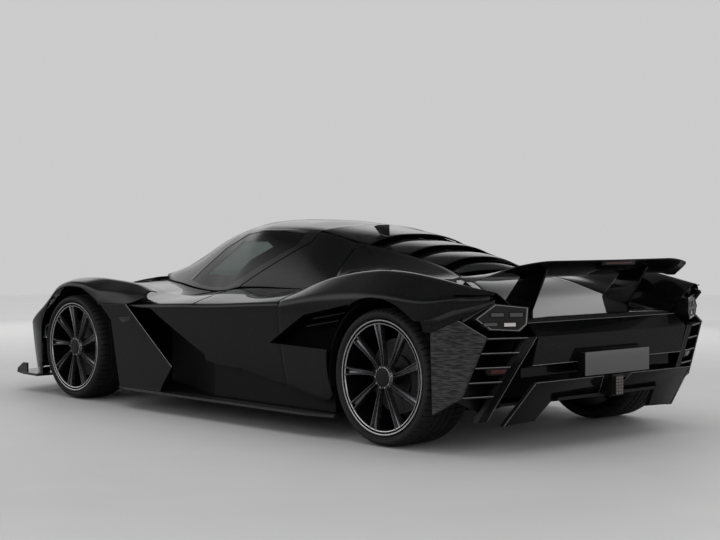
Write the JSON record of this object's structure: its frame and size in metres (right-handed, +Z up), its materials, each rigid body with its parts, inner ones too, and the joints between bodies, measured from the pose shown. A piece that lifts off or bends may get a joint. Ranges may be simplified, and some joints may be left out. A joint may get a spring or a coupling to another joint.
{
  "type": "mid-engined two-seat hypercar",
  "caption": "Low two-seat mid-engined hypercar with lift-up canopy, floating front fenders, side intakes, tall rear wing and framed diffuser; its wheels roll and the fronts steer.",
  "frame": {"origin": "on the ground, midway between nose tip and tail, on the plane of symmetry", "axes": "+X towards the nose, +Y to the car's left, +Z up"},
  "size_m": [4.626, 2.04, 1.14],
  "materials": {
    "paint": "deep gloss",
    "carbon": "clear-coated twill weave",
    "dark_plastic": "satin",
    "glass": "dark tint",
    "lamp_red": "clear over red",
    "lamp_clear": "clear",
    "rim_metal": "satin dark grey",
    "steel": "machined",
    "rubber": "matt",
    "trim": "suede and leather",
    "engine": "plain block"
  },
  "bodies": {
    "chassis": {"monocoque": "carbon", "floor_pan": "carbon", "sill_blades": "carbon", "nose_cover": "paint", "front_splitter": "carbon", "front_fender_left": "paint", "front_fender_right": "paint", "front_vanes": "carbon", "flank_left": "paint", "flank_right": "paint", "buttresses": "paint", "haunch_left": "paint", "haunch_right": "paint", "side_intakes": "dark_plastic", "rear_deck": "paint", "tail_fascia": "dark_plastic", "rear_corner_panels": "carbon", "tail_grilles": "dark_plastic", "tail_lamps": "lamp_red", "diffuser": "carbon", "rain_lamp": "lamp_red", "rear_wing": "carbon", "wing_pylons": "carbon", "headlamps": "lamp_clear", "radiators": "dark_plastic", "side_skirts": "dark_plastic", "seats": "trim", "dashboard": "dark_plastic", "steering_wheel": "trim", "engine_block": "engine", "front_suspension": "steel", "rear_suspension": "steel"},
    "canopy": {"canopy_frame": "paint", "canopy_glass": "glass"},
    "engine_lid": {"engine_cover": "paint"},
    "knuckle_left": {"knuckle_left": "steel"},
    "knuckle_right": {"knuckle_right": "steel"},
    "wheel_front_left": {"rim_front_left": "rim_metal", "tyre_front_left": "rubber"},
    "wheel_front_right": {"rim_front_right": "rim_metal", "tyre_front_right": "rubber"},
    "wheel_rear_left": {"rim_rear_left": "rim_metal", "tyre_rear_left": "rubber"},
    "wheel_rear_right": {"rim_rear_right": "rim_metal", "tyre_rear_right": "rubber"}
  },
  "joints": [
    {"name": "canopy_hinge", "type": "hinge", "parent": "chassis", "child": "canopy", "pos_m": [1.544, 0, 0.742], "axis": [0, 1, 0], "range_deg": [0, 45]},
    {"name": "engine_cover_hinge", "type": "hinge", "parent": "chassis", "child": "engine_lid", "pos_m": [-1.484, 0, 0.822], "axis": [0, -1, 0], "range_deg": [0, 55]},
    {"name": "steer_left", "type": "hinge", "parent": "chassis", "child": "knuckle_left", "pos_m": [1.277, 0.782, 0.331], "axis": [0, 0, 1], "range_deg": [-28, 28]},
    {"name": "steer_right", "type": "hinge", "parent": "chassis", "child": "knuckle_right", "pos_m": [1.277, -0.782, 0.331], "axis": [0, 0, 1], "range_deg": [-28, 28]},
    {"name": "spin_front_left", "type": "hinge", "parent": "knuckle_left", "child": "wheel_front_left", "pos_m": [1.277, 0.822, 0.331], "axis": [0, 1, 0], "continuous": true},
    {"name": "spin_front_right", "type": "hinge", "parent": "knuckle_right", "child": "wheel_front_right", "pos_m": [1.277, -0.822, 0.331], "axis": [0, 1, 0], "continuous": true},
    {"name": "spin_rear_left", "type": "hinge", "parent": "chassis", "child": "wheel_rear_left", "pos_m": [-1.573, 0.822, 0.346], "axis": [0, 1, 0], "continuous": true},
    {"name": "spin_rear_right", "type": "hinge", "parent": "chassis", "child": "wheel_rear_right", "pos_m": [-1.573, -0.822, 0.346], "axis": [0, 1, 0], "continuous": true}
  ],
  "couplings": [
    {"joint": "steer_right", "follows": "steer_left", "ratio": 1}
  ]
}
